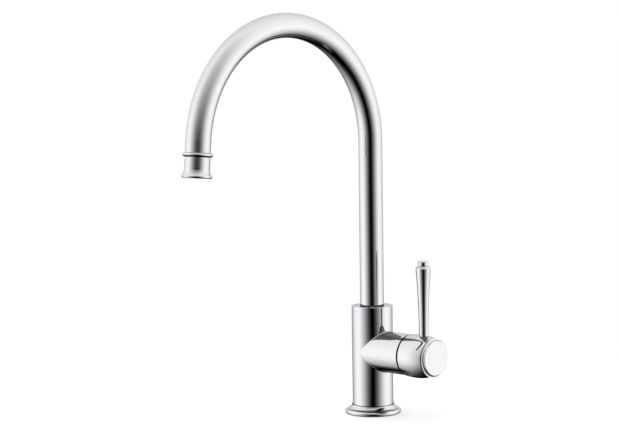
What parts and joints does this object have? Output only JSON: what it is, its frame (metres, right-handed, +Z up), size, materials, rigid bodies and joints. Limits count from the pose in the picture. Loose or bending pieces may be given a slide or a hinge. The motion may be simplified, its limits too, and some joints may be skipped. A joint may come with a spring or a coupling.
{
  "type": "kitchen faucet",
  "caption": "Kitchen mixer tap with a swivelling gooseneck spout, a round column on a beaded flange, and a side handle that turns for temperature and tips for flow.",
  "frame": {"origin": "centre of the body's foot, in the plane of the flange's underside, on the sink deck", "axes": "+Z up along the column, -Y along the spout's reach at rest, +X along the handle's arm"},
  "size_m": [0.1186, 0.2877, 0.4198],
  "materials": {
    "chrome": "polished chrome plating on brass",
    "black_rubber": "moulded EPDM rubber",
    "dark_plastic": "dark moulded acetal",
    "white_plastic": "white moulded acetal",
    "grey_plastic": "grey moulded acetal",
    "cartridge_plastic": "glass-filled nylon",
    "ceramic": "lapped alumina ceramic",
    "brass": "turned brass",
    "steel": "stainless steel",
    "mark_paint": "grey enamel"
  },
  "bodies": {
    "root": {"body": "chrome", "base_flange": "chrome", "base_seal": "black_rubber", "slip_ring": "dark_plastic", "spout_retaining_screw": "steel", "cartridge_base": "cartridge_plastic", "port_seals": "black_rubber", "disc_seals": "black_rubber", "fixed_disc": "ceramic", "cartridge_housing": "cartridge_plastic", "cartridge_nut": "brass", "dome_cover": "dark_plastic"},
    "spout": {"spout_tube": "chrome", "spout_spigot": "brass", "spout_o_rings": "black_rubber", "spout_slide_rings": "white_plastic", "outlet_collar": "chrome", "aerator_housing": "chrome", "aerator_washer": "black_rubber", "inlet_screen": "steel", "aerator_insert": "grey_plastic"},
    "turret": {"turret": "cartridge_plastic", "hinge_pin": "steel"},
    "disc_slider": {"moving_disc": "ceramic", "disc_carrier": "cartridge_plastic"},
    "handle": {"cartridge_stem": "brass", "handle_hub": "chrome", "lever": "chrome", "lever_stud": "steel", "handle_screw": "steel", "hub_cap": "chrome", "cap_o_ring": "black_rubber", "index_marks": "mark_paint"}
  },
  "joints": [
    {"name": "spout_swivel", "type": "hinge", "parent": "root", "child": "spout", "pos_m": [0, 0, 0.1142], "axis": [0, 0, 1], "continuous": true},
    {"name": "handle_temperature", "type": "hinge", "parent": "root", "child": "turret", "pos_m": [0.044, 0, 0.0666], "axis": [1, 0, 0], "range_deg": [-45, 45]},
    {"name": "handle_flow", "type": "hinge", "parent": "turret", "child": "handle", "pos_m": [0.044, 0, 0.0666], "axis": [0, 1, 0], "range_deg": [0, 22]},
    {"name": "disc_slide", "type": "slide", "parent": "turret", "child": "disc_slider", "axis": [0, 0, 1], "range_m": [0, 0.0038]}
  ],
  "couplings": [
    {"joint": "disc_slide", "follows": "handle_flow", "m_per_rad": 0.009805}
  ]
}
